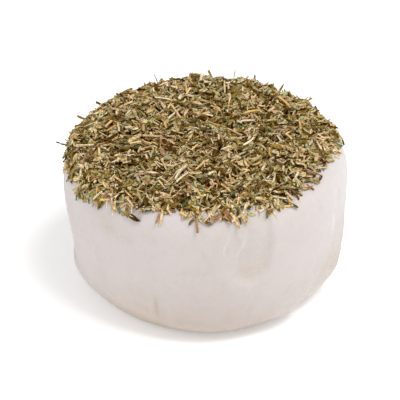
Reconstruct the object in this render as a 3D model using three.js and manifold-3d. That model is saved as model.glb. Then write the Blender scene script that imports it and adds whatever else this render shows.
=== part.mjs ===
// A small sheep's milk camembert: a soft drum with a white bloomy rind and a thick coat of dried herbs pressed
// on its top, which spills unevenly over the shoulder.
// Millimetres, +Z up. The origin is the middle of the base. Azimuth 0 is the front, -Y, and 90 degrees is +X.
import * as THREE from "three";
import { mergeVertices } from "three/addons/utils/BufferGeometryUtils.js";
import Module from "manifold-3d";

const { cos, sin, sqrt, PI } = Math;
const { clamp, degToRad, lerp, smoothstep } = THREE.MathUtils;

// Driving dimensions of the cheese
const CHEESE_RADIUS = 36;
const CHEESE_HEIGHT = 38;
const SHOULDER_IN = 4.5; // the rounding between top and wall, across and down
const SHOULDER_DOWN = 7;
const WALL_BULGE = 0.6; // how far the wall's middle swells past a straight line
const WALL_TAPER = 1.2; // how much narrower the wall is where the foot's rounding starts
const FOOT_IN = 10; // the rounding between wall and base, across and up
const FOOT_UP = 10.5;

// Slow waves in the hand-turned wall: radial depth, crests round the wall, phase, and turn for each mm of height
const WALL_WAVES = [
  { depth: 0.3, crests: 2, phase: 0.6, twist: 0.02 },
  { depth: 0.24, crests: 3, phase: 5.2, twist: -0.05 },
  { depth: 0.16, crests: 5, phase: 0.9, twist: 0.06 },
  { depth: 0.1, crests: 9, phase: 1.3, twist: -0.09 },
];
// Hollows pressed into the wall, and a bulge with a negative depth: azimuth in degrees, height, half sizes across
// and up, depth, and edge sharpness
const WALL_DENTS = [
  { azimuth: 17, height: 31, across: 6, up: 12, depth: 1.1, edge: 4 }, // a thumb's mark under the herbs
  { azimuth: -88, height: 14, across: 13, up: 9, depth: 1.1, edge: 2 }, // the left wall's waist
  { azimuth: 52, height: 7, across: 3, up: 4, depth: 0.9, edge: 2 }, // a nick in the foot
  { azimuth: -20, height: 11.5, across: 1.8, up: 4.5, depth: 0.5, edge: 2 }, // a short crease
  { azimuth: 78, height: 21, across: 3, up: 9, depth: 0.5, edge: 2 }, // a pleat on the right
  { azimuth: 165, height: 18, across: 9, up: 7, depth: 0.6, edge: 2 }, // a finger's mark behind
  { azimuth: -42, height: 3, across: 12, up: 5, depth: 0.8, edge: 2 }, // the foot's rounder left
  { azimuth: 86, height: 12, across: 15, up: 6, depth: -0.8, edge: 2 }, // the fuller wall on the right
];
const RELIEF_STARTS = 7; // height by which the waves and hollows have grown from nothing at the flat base

// Driving dimensions of the herb coat
const COAT_GAP = 0.3; // clear space between herbs and rind
const COAT_THICK = 2.1; // over the middle
const COAT_THICK_AT_EDGE = 1.1;
const COAT_LUMP = 0.55; // bumps as large as the flakes, up and down
const COAT_BURIED = 1.5; // how far the coat's core reaches into the rind before it is trimmed off
// Where the coat ends, as a run from the top's centre over the shoulder, and the stretches where it reaches further
// or less far down: azimuth and half width in degrees, and extra run
const EDGE_RUN = 33.6;
const EDGE_TONGUES = [
  { azimuth: -68, width: 30, further: 3.6 },
  { azimuth: 38, width: 14, further: 0.8 },
  { azimuth: 70, width: 22, further: -1.5 },
  { azimuth: 150, width: 40, further: 2.4 },
  { azimuth: -145, width: 30, further: 1.6 },
];
const EDGE_RAGGED = [
  { depth: 0.4, crests: 7, phase: 0.4 },
  { depth: 0.5, crests: 16, phase: 2.7 },
];

// The largest herb pieces, which stand out of the coat one by one
const FLAKES = 124;
const FLAKE_REACH = 0.5; // how far past the coat's edge the last ones lie
const FLAKE_LEAN = degToRad(26);
const HANG_FROM = 0.9; // past this share of the way to the edge a flake points downhill, as it hangs over the rim
const HANG_SPREAD = degToRad(55);
const STEM_LENGTH = [3.6, 6.2];
const STEM_WIDTH = [0.8, 1.2];
const STEM_SHARE = 0.5;
const LEAF_LENGTH = [2.8, 4.2];
const LEAF_WIDTH = [1.5, 2.2];
const LEAF_THICK = 0.55;
const LEAF_BEND = 0.7;
const LEAF_TIP = 0.35; // width of a leaf's ends over that of its middle
const SEED = 20611;

// Fineness of the faceted surfaces
const SECTORS = 72;
const MERIDIAN_STEPS = [3, 5, 6, 6, 1]; // top, shoulder, wall, foot, base
const COAT_DETAIL = 17;
const SIMPLIFY = 0.02;

const wasm = await Module();
wasm.setup();

// Numbers from 0 to 1, the same on each run
function randomStream(seed) {
  let state = seed;
  return () => {
    state = (state + 0x6d2b79f5) | 0;
    let t = Math.imul(state ^ (state >>> 15), state | 1);
    t ^= t + Math.imul(t ^ (t >>> 7), t | 61);
    return ((t ^ (t >>> 14)) >>> 0) / 2 ** 32;
  };
}

// The drum's half section, from the top's centre over the shoulder and down the wall to the base's centre
function drumMeridian() {
  const footRadius = CHEESE_RADIUS - WALL_TAPER;
  const wallTop = CHEESE_HEIGHT - SHOULDER_DOWN;
  const path = new THREE.Path();
  path.moveTo(0, CHEESE_HEIGHT);
  path.lineTo(CHEESE_RADIUS - SHOULDER_IN, CHEESE_HEIGHT);
  path.absellipse(CHEESE_RADIUS - SHOULDER_IN, wallTop, SHOULDER_IN, SHOULDER_DOWN, PI / 2, 0, true);
  path.quadraticCurveTo(CHEESE_RADIUS + WALL_BULGE, (wallTop + FOOT_UP) / 2, footRadius, FOOT_UP);
  path.absellipse(footRadius - FOOT_IN, FOOT_UP, FOOT_IN, FOOT_UP, 0, -PI / 2, true);
  path.lineTo(0, 0);
  return path;
}

// The turn from one azimuth, in degrees, to another, the short way round
function turnFrom(middle, azimuth) {
  const turn = azimuth - degToRad(middle);
  return Math.atan2(sin(turn), cos(turn));
}

// How far the wall stands out of the plain drum
function wallRelief(azimuth, height) {
  let relief = 0;
  for (const { depth, crests, phase, twist } of WALL_WAVES) {
    relief += depth * cos(crests * azimuth + phase + twist * height);
  }
  for (const { azimuth: middle, height: level, across, up, depth, edge } of WALL_DENTS) {
    const aside = CHEESE_RADIUS * turnFrom(middle, azimuth);
    const reach = Math.hypot(aside / across, (height - level) / up);
    relief -= depth / (1 + reach ** (2 * edge));
  }
  return relief;
}

// A point of the drum's section, turned to an azimuth, with the wall's relief
function onDrum(radius, height, azimuth) {
  const grown = smoothstep(height, 0, RELIEF_STARTS) * (radius / CHEESE_RADIUS) ** 2;
  const r = radius + grown * wallRelief(azimuth, height);
  return new THREE.Vector3(r * sin(azimuth), -r * cos(azimuth), height);
}

const meridian = drumMeridian();
const meridianLength = meridian.getLength();

// The rind at a run from the top's centre and an azimuth, lifted along the drum's normal
function onRind(run, azimuth, lift) {
  const share = clamp(run / meridianLength, 0, 1);
  const at = meridian.getPointAt(share);
  const down = meridian.getTangentAt(share);
  return onDrum(Math.max(at.x - down.y * lift, 0), at.y + down.x * lift, azimuth);
}

// The whole drum, grown by a margin all round
function drumGeometry(margin) {
  const section = meridian.curves.flatMap((curve, i) => {
    const points = [];
    for (let k = i ? 1 : 0; k <= MERIDIAN_STEPS[i]; k++) {
      const share = k / MERIDIAN_STEPS[i];
      const at = curve.getPoint(share);
      const down = curve.getTangent(share);
      const onAxis = at.x < 1e-6;
      points.push(new THREE.Vector2(onAxis ? 0 : at.x - down.y * margin, at.y + down.x * margin));
    }
    return points;
  });
  const geometry = new THREE.LatheGeometry(section.reverse(), SECTORS).rotateX(PI / 2);
  return moved(geometry, (p) => onDrum(Math.hypot(p.x, p.y), p.z, Math.atan2(p.x, -p.y)));
}

// Moves every vertex of a geometry to where a rule puts it, with shared vertices merged
function moved(geometry, rule) {
  geometry.deleteAttribute("normal");
  geometry.deleteAttribute("uv");
  const merged = mergeVertices(geometry);
  const { position } = merged.attributes;
  const p = new THREE.Vector3();
  for (let i = 0; i < position.count; i++) {
    p.fromBufferAttribute(position, i);
    position.setXYZ(i, ...rule(p).toArray());
  }
  return merged;
}

// The run at which the herbs end
function coatEdge(azimuth) {
  let run = EDGE_RUN;
  for (const { azimuth: middle, width, further } of EDGE_TONGUES) {
    run += further * Math.exp(-((turnFrom(middle, azimuth) / degToRad(width)) ** 2));
  }
  for (const { depth, crests, phase } of EDGE_RAGGED) {
    run += depth * cos(crests * azimuth + phase);
  }
  return run;
}

// Height of the coat over the rind, at a share of the way from the centre to the edge
function coatThickness(share) {
  return lerp(COAT_THICK, COAT_THICK_AT_EDGE, smoothstep(share, 0.55, 1));
}

// The coat's core: a ball whose upper half is spread over the cheese and whose lower half is tucked inside it
function coatCoreGeometry(random) {
  const ball = new THREE.IcosahedronGeometry(1, COAT_DETAIL);
  return moved(ball, (p) => {
    const azimuth = Math.atan2(p.x, -p.y);
    const edge = coatEdge(azimuth);
    const lump = COAT_LUMP * (2 * random() - 1);
    if (p.z > -1e-6) {
      const share = sqrt(1 - clamp(p.z, 0, 1));
      return onRind(share * edge, azimuth, COAT_GAP + coatThickness(share) + lump);
    }
    return onRind(sqrt(1 + p.z) * edge, azimuth, -COAT_BURIED);
  });
}

// A snapped piece of stem, along X
function stemGeometry(random) {
  const half = lerp(...STEM_WIDTH, random()) / 2;
  const taper = lerp(0.6, 1, random());
  return new THREE.CylinderGeometry(half * taper, half, lerp(...STEM_LENGTH, random()), 5).rotateZ(PI / 2);
}

// A curled scrap of leaf, along X: a plate with narrow ends that bend the same way
function leafGeometry(random) {
  const length = lerp(...LEAF_LENGTH, random());
  const width = lerp(...LEAF_WIDTH, random());
  const bend = LEAF_BEND * (2 * random() - 1);
  const plate = new THREE.BoxGeometry(length, width, LEAF_THICK, 2, 1, 1);
  return moved(plate, (p) => {
    const out = Math.abs(p.x) / (length / 2);
    return new THREE.Vector3(p.x, p.y * lerp(1, LEAF_TIP, out), p.z + bend * out * out);
  });
}

// Where each flake lies: evenly over the coat on a golden spiral, then turned and leant at random
function flakeMatrix(index, random) {
  const goldenTurn = PI * (3 - sqrt(5));
  const share = sqrt((index + 0.5) / FLAKES);
  const azimuth = index * goldenTurn;
  const run = share * (coatEdge(azimuth) + FLAKE_REACH);
  const lift = COAT_GAP + coatThickness(share) + lerp(-0.1, 0.35, random());
  const at = onRind(run, azimuth, lift);
  const across = new THREE.Vector3(cos(azimuth), sin(azimuth), 0);
  const step = 0.5;
  const downhill = onRind(run + step, azimuth, lift).sub(at).normalize();
  const up = new THREE.Vector3().crossVectors(downhill, across).normalize();
  const spread = share < HANG_FROM ? PI : HANG_SPREAD;
  const turn = new THREE.Matrix4().makeRotationZ(spread * (2 * random() - 1));
  const lean = new THREE.Matrix4().makeRotationY(FLAKE_LEAN * (2 * random() - 1));
  return new THREE.Matrix4().makeBasis(downhill, across, up).multiply(turn).multiply(lean).setPosition(at);
}

// A closed geometry as a solid that can be joined and cut
function solidOf(geometry) {
  const bare = geometry.clone();
  bare.deleteAttribute("normal");
  bare.deleteAttribute("uv");
  const merged = mergeVertices(bare);
  return new wasm.Manifold(
    new wasm.Mesh({
      numProp: 3,
      vertProperties: new Float32Array(merged.attributes.position.array),
      triVerts: new Uint32Array(merged.index.array),
    }),
  );
}

// A solid as a three.js geometry
function geometryOf(solid) {
  const { numProp, vertProperties, triVerts } = solid.getMesh();
  const geometry = new THREE.BufferGeometry();
  geometry.setAttribute("position", new THREE.BufferAttribute(vertProperties, numProp));
  geometry.setIndex(new THREE.BufferAttribute(triVerts, 1));
  geometry.computeVertexNormals();
  return geometry;
}

// The herb coat: core and flakes in one piece, trimmed to lie clear of the rind, without loose scraps
function herbCoatGeometry() {
  const random = randomStream(SEED);
  const pieces = [solidOf(coatCoreGeometry(random))];
  for (let i = 0; i < FLAKES; i++) {
    const flake = random() < STEM_SHARE ? stemGeometry(random) : leafGeometry(random);
    pieces.push(solidOf(flake.applyMatrix4(flakeMatrix(i, random))));
  }
  const coat = wasm.Manifold.union(pieces).subtract(solidOf(drumGeometry(COAT_GAP)));
  const [largest] = coat.decompose().sort((a, b) => b.volume() - a.volume());
  return geometryOf(largest.simplify(SIMPLIFY));
}

function cheeseMesh() {
  const rind = new THREE.MeshStandardMaterial({ color: 0xece5e0, roughness: 0.85, metalness: 0 });
  const mesh = new THREE.Mesh(geometryOf(solidOf(drumGeometry(0))), rind);
  mesh.name = "cheese";
  return mesh;
}

function herbCoatMesh() {
  const herbs = new THREE.MeshStandardMaterial({ color: 0x89744d, roughness: 0.9, metalness: 0, flatShading: true });
  const mesh = new THREE.Mesh(herbCoatGeometry(), herbs);
  mesh.name = "herb_coat";
  return mesh;
}

const camembert = new THREE.Group();
camembert.add(cheeseMesh(), herbCoatMesh());

export default camembert;
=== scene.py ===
"""Looks of a small sheep's milk camembert under a coat of dried herbs, laid out as a Blender add-on."""

import math
from dataclasses import dataclass

import bpy
import numpy as np
from bpy.props import FloatProperty, FloatVectorProperty, IntProperty, PointerProperty
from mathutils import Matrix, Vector, noise


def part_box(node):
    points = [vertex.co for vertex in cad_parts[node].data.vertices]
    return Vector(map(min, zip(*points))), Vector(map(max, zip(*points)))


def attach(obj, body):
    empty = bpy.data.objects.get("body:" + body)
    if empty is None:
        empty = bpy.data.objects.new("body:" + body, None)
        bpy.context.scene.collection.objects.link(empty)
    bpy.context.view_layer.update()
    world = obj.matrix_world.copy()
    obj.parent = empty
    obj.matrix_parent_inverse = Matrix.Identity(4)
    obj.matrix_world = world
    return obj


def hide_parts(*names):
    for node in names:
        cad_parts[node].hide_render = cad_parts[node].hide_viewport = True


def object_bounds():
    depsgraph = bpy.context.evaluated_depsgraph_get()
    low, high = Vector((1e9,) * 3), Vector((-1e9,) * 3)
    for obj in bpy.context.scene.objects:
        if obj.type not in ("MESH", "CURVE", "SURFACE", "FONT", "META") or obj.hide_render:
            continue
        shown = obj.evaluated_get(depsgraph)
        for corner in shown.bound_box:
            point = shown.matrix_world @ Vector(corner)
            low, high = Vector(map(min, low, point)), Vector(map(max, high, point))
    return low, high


bl_info = {
    "name": "Herb-coated camembert",
    "version": (1, 0, 0),
    "blender": (4, 5, 0),
    "location": "View3D > Sidebar > Camembert",
    "description": "Makes a bloomy-rind cheese and strews dried herbs over its top",
    "category": "Add Mesh",
}

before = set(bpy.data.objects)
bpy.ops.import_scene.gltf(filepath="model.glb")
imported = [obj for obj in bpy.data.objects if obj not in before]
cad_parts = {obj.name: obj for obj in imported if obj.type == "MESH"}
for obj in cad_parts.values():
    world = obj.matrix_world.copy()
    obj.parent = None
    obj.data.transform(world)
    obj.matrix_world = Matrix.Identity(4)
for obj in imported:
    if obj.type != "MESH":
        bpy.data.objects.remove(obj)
CAD_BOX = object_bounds()
CHEESE_LOW, CHEESE_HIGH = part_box("cheese")
MM = 0.001
TAU = 2 * math.pi

# The drum, as its solid has it
CHEESE_RADIUS = 36 * MM
CHEESE_HEIGHT = CHEESE_HIGH.z - CHEESE_LOW.z
SHOULDER_IN, SHOULDER_DOWN = 4.5 * MM, 7 * MM
WALL_BULGE, WALL_TAPER = 0.6 * MM, 1.2 * MM
FOOT_IN, FOOT_UP = 10 * MM, 10.5 * MM
RELIEF_STARTS = 7 * MM

# Slow waves in the wall: radial depth, crests round the wall, phase, and turn for each metre of height
WALL_WAVES = (
    (0.30 * MM, 2, 0.6, 20),
    (0.24 * MM, 3, 5.2, -50),
    (0.16 * MM, 5, 0.9, 60),
    (0.10 * MM, 9, 1.3, -90),
)

# Places on the wall, in degrees and millimetres

# Hollows pressed into it, and a bulge as one of negative depth: azimuth, height, half sizes across and up, and
# depth. The thumb-wide one at the front has a sharp lip at its right and foot.
THUMB_HOLLOW = (17, 31, 6, 12, 1.3)
WALL_DENTS = (
    (-88, 14, 13, 9, 1.1),
    (52, 7, 3, 4, 0.9),
    (78, 21, 3, 9, 0.5),
    (165, 18, 9, 7, 0.6),
    (-42, 3, 12, 5, 0.8),
    (86, 12, 15, 6, -0.8),
)
HOLLOW_SQUARENESS = 2.6  # 2 for an oval, and more for a rounded square
HOLLOW_SHARPNESS, LIP_SHARPNESS = 2, 11
LIP_RANGE = (-0.2, 0.9)  # shares of the hollow's size over which its lip grows sharper
LIP_LEAN = 0.5  # how much deeper a hollow with a lip is at its left
# Short creases, nicks and lumps that are finer than the solid's hollows, in the same order
CREASES = (
    (49, 3, 2.4, 3.5, 0.9),
    (60, 4, 3.5, 3, 0.45),
    (73, 10.5, 6, 3.5, -0.4),
    (26, 2, 6, 3, 0.7),
    (-14, 2, 7, 3, 0.5),
    (-75, 6.5, 6, 3.5, -0.7),
    (-36, 2.5, 9, 3.5, 0.8),
    (-20, 11.5, 0.55, 3.6, 0.42),
    (-24, 9, 0.5, 2.2, 0.25),
    (3, 22.5, 4.6, 0.6, 0.10),
    (62, 13, 0.7, 3.2, 0.22),
    (-58, 24, 0.8, 4.4, 0.16),
    (134, 24, 0.7, 4.2, 0.3),
    (-140, 15, 0.8, 5, 0.3),
    (-112, 27, 3.6, 0.7, 0.16),
)
# Places where the skin has lifted: azimuth, height, and half sizes across and up
BLISTERS = (
    (11.2, 29, 2.1, 3.4),
    (62, 25, 1.4, 4.2),
    (-104, 22, 2.0, 4.0),
)
LIFT, LIFT_WIDTH, LIFT_LEAN = 0.22 * MM, 0.2, 0.3  # height, and width and lean as shares of the place's size
# Thin pale scuffs in the mould: azimuth, height, half width, half length, slant, and strength. The first two,
# on the ring of the lifted skin at 11 degrees, and the one at 63 degrees are painted highlights on lifted
# skin.
SCUFFS_AND_HIGHLIGHTS = (
    (8.2, 30.2, 0.26, 2.2, 0.28, 0.4),
    (14.2, 28.8, 0.26, 2.7, 0.34, 0.6),
    (53, 23, 0.3, 3.0, 0.5, 0.3),
    (63, 25, 0.35, 2.0, 0.4, 0.9),
    (17, 12, 0.4, 3.0, 0.4, 0.16),
    (22, 11.5, 0.4, 3.2, 0.45, 0.16),
    (-50, 21, 0.3, 2.4, -0.3, 0.25),
    (120, 19, 0.3, 3.2, 0.4, 0.35),
    (-150, 27, 0.3, 2.6, -0.4, 0.35),
)
SCUFF_WAVE, SCUFF_CURL = 0.3, 1.1  # how far they waver to the sides, and the length that sets how often
# Patches where the rind is stained, and at -20 degrees a darker line along the crease there: azimuth, height,
# half sizes across and up, and strength
STAINS = (
    (-40, 31, 3.6, 2.4, 0.32),
    (-33, 29.6, 3.4, 1.2, 0.24),
    (-5, 23, 6, 1.6, 0.22),
    (-20, 10.5, 0.8, 4.0, 0.5),
    (-33, 6, 13, 4, 0.32),
    (66, 12, 8, 6, 0.44),
    (-14, 17, 16, 7, 0.13),
    (57, 6, 13, 6, 0.3),
    (70, 20, 5, 4, 0.2),
    (150, 14, 7, 4, 0.3),
    (-125, 26, 5, 4, 0.25),
)
# Painted shade, in the stain's colour, along the lip of the hollow at the front, and within it
LIP_SHADE, HOLLOW_SHADE = 0.3, 0.12
LIP_AT, LIP_SHADE_OUT, LIP_SHADE_IN = 0.9, 0.09, 0.4  # as shares of the hollow's size
# Patches where the mould is thin, in the same order. The first, at the front about the hollow, is painted
# shade.
THIN_MOULD_AND_SHADE_PATCHES = (
    (10, 24, 10, 14, 0.2),
    (67, 30.5, 1.6, 2.6, 0.22),
    (-118, 16, 9, 8, 0.25),
    (140, 30, 12, 6, 0.2),
)
# Darker and warmer towards the foot, less so at the sides: partly thinner mould and partly painted shade where
# the foot curves under
FOOT_THIN_AND_SHADE, FOOT_DARKENING_FADE = 0.78, 1.35
FOOT_DARKENING_UP_TO = 0.62  # share of the height up to which the rind darkens towards the foot
FOOT_DARKENING_SIDES = 0.4  # half of how much less it does so at the sides than at the front
FOOT_DARKENING_WAVER, FOOT_DARKENING_PATCH = 3.5 * MM, 11 * MM  # how far its upper end wavers, and over which size
# Patches of thick white mould, in the same order. The first, along the right edge, is partly whiter mould and
# partly painted rim light, and the second is a painted highlight on the lifted skin at 62 degrees.
BLOOMS_AND_LIGHT = (
    (88, 30, 17, 10, 0.9),
    (61.5, 26, 1.2, 3.4, 1.0),
    (54, 5, 14, 6, 0.5),
    (-70, 33, 8, 4, 0.35),
    (-160, 25, 16, 8, 0.5),
)

# Where the herbs end, as a run from the top's centre over the shoulder, and the stretches where they reach
# further or less far down: azimuth, half width as an angle, and extra run
EDGE_RUN = 33.6 * MM
EDGE_TONGUES = (
    (-70, 27, 3.2 * MM),
    (-25, 8, 1.3 * MM),
    (29, 10, 2.3 * MM),
    (60, 24, -2.5 * MM),
    (150, 40, 2.4 * MM),
    (-145, 30, 1.6 * MM),
)
EDGE_RAGGED = ((0.4 * MM, 7, 0.4), (0.5 * MM, 16, 2.7))

# The rind's mesh and the size of its low relief
RIND_SECTORS, RIND_STEP = 576, 0.5 * MM
FLAT_ROWS, BASE_ROWS, ROWS_MARGIN = 10, 8, 2 * MM  # coarser rows on the flat top and base, and where they end
RELIEF_HEIGHTS, RELIEF_RADII = (0.2 * MM, 3 * MM), (0.7, 0.9)  # over which the low relief sets in
SWELL_SIZE, WRINKLE_SIZE, FINE_WRINKLE_SIZE, PLEAT_SIZE = 11 * MM, 5 * MM, 2 * MM, 2.2 * MM
PLEATS_AT, PLEATS_WIDTH, PLEATS_ELSEWHERE = math.radians(72), math.radians(20), 0.2
PLEAT_STRETCH = (1, 1, 0.25)

# The bed of fines that the flakes lie on, dark partly as painted shade in the gaps between them
BED_SECTORS, BED_ROWS = 240, 52
BED_INSET, BED_SINK = 2 * MM, 0.3 * MM
BED_BUMP, BED_BUMP_SIZE = 0.28 * MM, 1.3 * MM
BED_THINS = ((0.7, 0.85), (0.9, 1.0))  # shares of the way to its edge over which it loses half its depth each

# Finish of the herbs: gloss, fibres along and across a flake, and what each colour is multiplied by in its
# darker fibres and in the painted shade of flakes deep in the coat
HERB_GLOSS = 0.06
STEM_FIBRES, LEAF_FIBRES = (250, 4600, 4600), (1000, 2800, 2800)
STEM_DEEP, LEAF_DEEP = (0.5, 0.42, 0.27), (0.44, 0.33, 0.09)
DEPTH_SHADE_TINT = (0.62, 0.48, 0.19)

# The soft lights' places and widths
LIGHTS = {
    "key": ((0.32, -0.24, 0.88), 0.35),
    "fill": ((-0.7, -0.35, 0.5), 0.7),
    "rim": ((0.8, -0.15, 0.4), 0.5),
}
AIM_PAST = (-1.4 * MM, 0, 0.3 * MM)  # from the middle of the cheese to what the camera aims at
SENSOR = 36  # width in millimetres
FLOOR_HALF = 3.0


def linear(red, green, blue):
    """A colour as seen on a screen, from 0 to 255, as the linear values that shaders take."""
    shares = (c / 255 for c in (red, green, blue))
    return tuple(c / 12.92 if c < 0.04045 else ((c + 0.055) / 1.055) ** 2.4 for c in shares)


def colour(name, description, *levels):
    default = linear(*levels)
    return FloatVectorProperty(
        name=name, description=description, subtype="COLOR", size=3, min=0, max=1, default=default
    )


def length(name, description, default):
    return FloatProperty(
        name=name, description=description, subtype="DISTANCE", unit="LENGTH", min=0, default=default
    )


def amount(name, description, default):
    return IntProperty(name=name, description=description, min=0, default=default)


def power(name, description, default):
    return FloatProperty(name=name, description=description, unit="POWER", min=0, default=default)


def number(name, description, default):
    return FloatProperty(name=name, description=description, min=0, default=default)


class RindSettings(bpy.types.PropertyGroup):
    bloom: colour("Bloom", "The rind's white mould", 206, 198, 196)
    # The thick bloom's colour also paints the highlights on the lifted skin and the rim light along the right
    # edge
    thick_bloom_and_light: colour("Thick bloom", "The whitest mould", 216, 213, 212)
    # The thin bloom's colour also paints the shade towards the foot and about the front hollow
    thin_bloom_and_shade: colour("Thin bloom", "Rind where the mould is thin", 184, 170, 158)
    # The stain's colour also paints the shade along the front hollow's lip and within it
    stain: colour("Stain", "Yellow and brown patches", 184, 164, 131)
    swell_depth: length("Swellings", "Height of the rind's broad swellings", 0.22 * MM)
    wrinkle_depth: length("Wrinkles", "Depth of the rind's small wrinkles", 0.08 * MM)
    pleat_depth: length("Pleats", "Depth of the upright pleats on the right", 0.22 * MM)
    fuzz_depth: length("Fuzz", "Depth of the mould's velvet", 0.1 * MM)


class HerbSettings(bpy.types.PropertyGroup):
    stems: amount("Stems", "Snapped straw-like stems", 3700)
    leaves: amount("Leaf scraps", "Curled scraps of leaf", 4500)
    needles: amount("Needles", "Narrow rolled leaves", 3100)
    greens: amount("Green bits", "Scraps that kept their green", 620)
    husks: amount("Husks", "Brown and plum flower husks", 800)
    crumbs: amount("Crumbs", "The finest fragments", 2600)
    bed_depth: length("Bed", "Depth of the packed fines under the flakes", 0.4 * MM)
    straw: colour("Straw", "Pale stems", 245, 230, 196)
    tan: colour("Tan", "Most stems", 240, 209, 160)
    khaki: colour("Khaki", "Faded leaf", 221, 200, 154)
    gold: colour("Gold", "Yellow stems", 240, 195, 120)
    fawn: colour("Fawn", "Pinkish husk and bark", 236, 203, 174)
    sage: colour("Sage", "Grey-green leaf", 195, 188, 155)
    lime: colour("Lime", "Yellow-green leaf", 194, 182, 118)
    mint: colour("Mint", "Pale green leaf", 189, 193, 149)
    mauve: colour("Mauve", "Greyish red-brown bark", 192, 155, 128)
    olive: colour("Olive", "Dry green leaf", 155, 132, 66)
    dark: colour("Dark leaf", "The darkest leaf", 90, 56, 0)
    green: colour("Green", "Leaf that kept its green", 97, 115, 72)
    brown: colour("Brown", "Bark and husk", 148, 104, 62)
    rust: colour("Rust", "Reddish husk", 160, 114, 78)
    plum: colour("Plum", "Dried flower", 136, 112, 102)
    seed: amount("Seed", "Start of the random draws", 411)


class StageSettings(bpy.types.PropertyGroup):
    elevation: FloatProperty(
        name="Elevation", description="Camera above the horizon", subtype="ANGLE", default=math.radians(32)
    )
    distance: length("Distance", "Camera to the middle of the cheese", 0.45)
    lens: number("Lens", "Focal length in millimetres", 158)
    floor: colour("Floor", "Plain pale floor", 250, 250, 250)
    glow: number("Floor glow", "How far the floor is lit from below", 0.2)
    key: power("Key", "Power of the soft light on the right", 4.9)
    fill: power("Fill", "Power of the soft light on the left", 1.75)
    rim: power("Rim", "Power of the light at the far right", 0.9)
    sky: number("Sky", "Strength of the even light all round", 0.6)


class CamembertSettings(bpy.types.PropertyGroup):
    rind: PointerProperty(name="Rind", description="The cheese and its mould", type=RindSettings)
    herbs: PointerProperty(name="Herbs", description="The coat on its top", type=HerbSettings)
    stage: PointerProperty(name="Stage", description="Floor, lights and camera", type=StageSettings)


# Shader expressions


class Term:
    """One output of a material's nodes. Python's operators on it add Math nodes."""

    def __init__(self, paint, socket):
        self.paint, self.socket = paint, socket

    def _math(self, operation, first, second):
        return self.paint.node("ShaderNodeMath", {"operation": operation}, {0: first, 1: second})

    def __add__(self, other):
        return self._math("ADD", self, other)

    def __sub__(self, other):
        return self._math("SUBTRACT", self, other)

    def __mul__(self, other):
        return self._math("MULTIPLY", self, other)

    def __rsub__(self, other):
        return self._math("SUBTRACT", other, self)

    __radd__, __rmul__ = __add__, __mul__


class Paint:
    """One material under construction, with a Principled shader that its terms feed."""

    def __init__(self, name):
        self.material = bpy.data.materials.new(name)
        self.material.use_nodes = True
        self.tree = self.material.node_tree
        self.shader = self.tree.nodes["Principled BSDF"]

    def node(self, kind, settings=None, sockets=None, out=0):
        """One output of a new node of that type, with its settings and its sockets' values or links."""
        made = self.tree.nodes.new(kind)
        for key, value in (settings or {}).items():
            if key == "stops":
                self._set_stops(made.color_ramp, value)
            else:
                setattr(made, key, value)
        for key, value in (sockets or {}).items():
            self._feed(made.inputs[key], value)
        return Term(self, made.outputs[out])

    def _set_stops(self, ramp, stops):
        while len(ramp.elements) < len(stops):
            ramp.elements.new(1)
        for element, (position, shade) in zip(ramp.elements, stops):
            element.position, element.color = position, (*shade, 1)

    def _feed(self, socket, value):
        if isinstance(value, Term):
            self.tree.links.new(value.socket, socket)
        elif socket.type == "RGBA" and len(value) == 3:
            socket.default_value = (*value, 1)
        else:
            socket.default_value = value

    def set(self, **sockets):
        """Values or links of the Principled shader's sockets, with _ for a space in their names."""
        for key, value in sockets.items():
            self._feed(self.shader.inputs[key.replace("_", " ")], value)

    def mix(self, first, second, factor):
        return self.node("ShaderNodeMix", {"data_type": "RGBA"}, {0: factor, 6: first, 7: second}, out=2)

    def tint(self, first, by):
        settings = {"data_type": "RGBA", "blend_type": "MULTIPLY"}
        return self.node("ShaderNodeMix", settings, {0: 1.0, 6: first, 7: by}, out=2)

    def stretch(self, vector, scale):
        return self.node("ShaderNodeVectorMath", {"operation": "MULTIPLY"}, {0: vector, 1: scale})

    def noise(self, vector, scale, detail=2.0, roughness=0.5):
        sockets = {"Vector": vector, "Scale": scale, "Detail": detail, "Roughness": roughness}
        return self.node("ShaderNodeTexNoise", None, sockets)

    def ramp(self, factor, stops):
        return self.node("ShaderNodeValToRGB", {"stops": stops}, {0: factor})

    def spread(self, value, low, high):
        """A value as 0 under low, 1 over high and smooth between them."""
        sockets = {"Value": value, "From Min": low, "From Max": high}
        return self.node("ShaderNodeMapRange", {"interpolation_type": "SMOOTHSTEP"}, sockets)

    def bump(self, height, distance):
        return self.node("ShaderNodeBump", None, {"Height": height, "Distance": distance})

    def attribute(self, name, out="Fac"):
        return self.node("ShaderNodeAttribute", {"attribute_name": name}, out=out)


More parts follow.
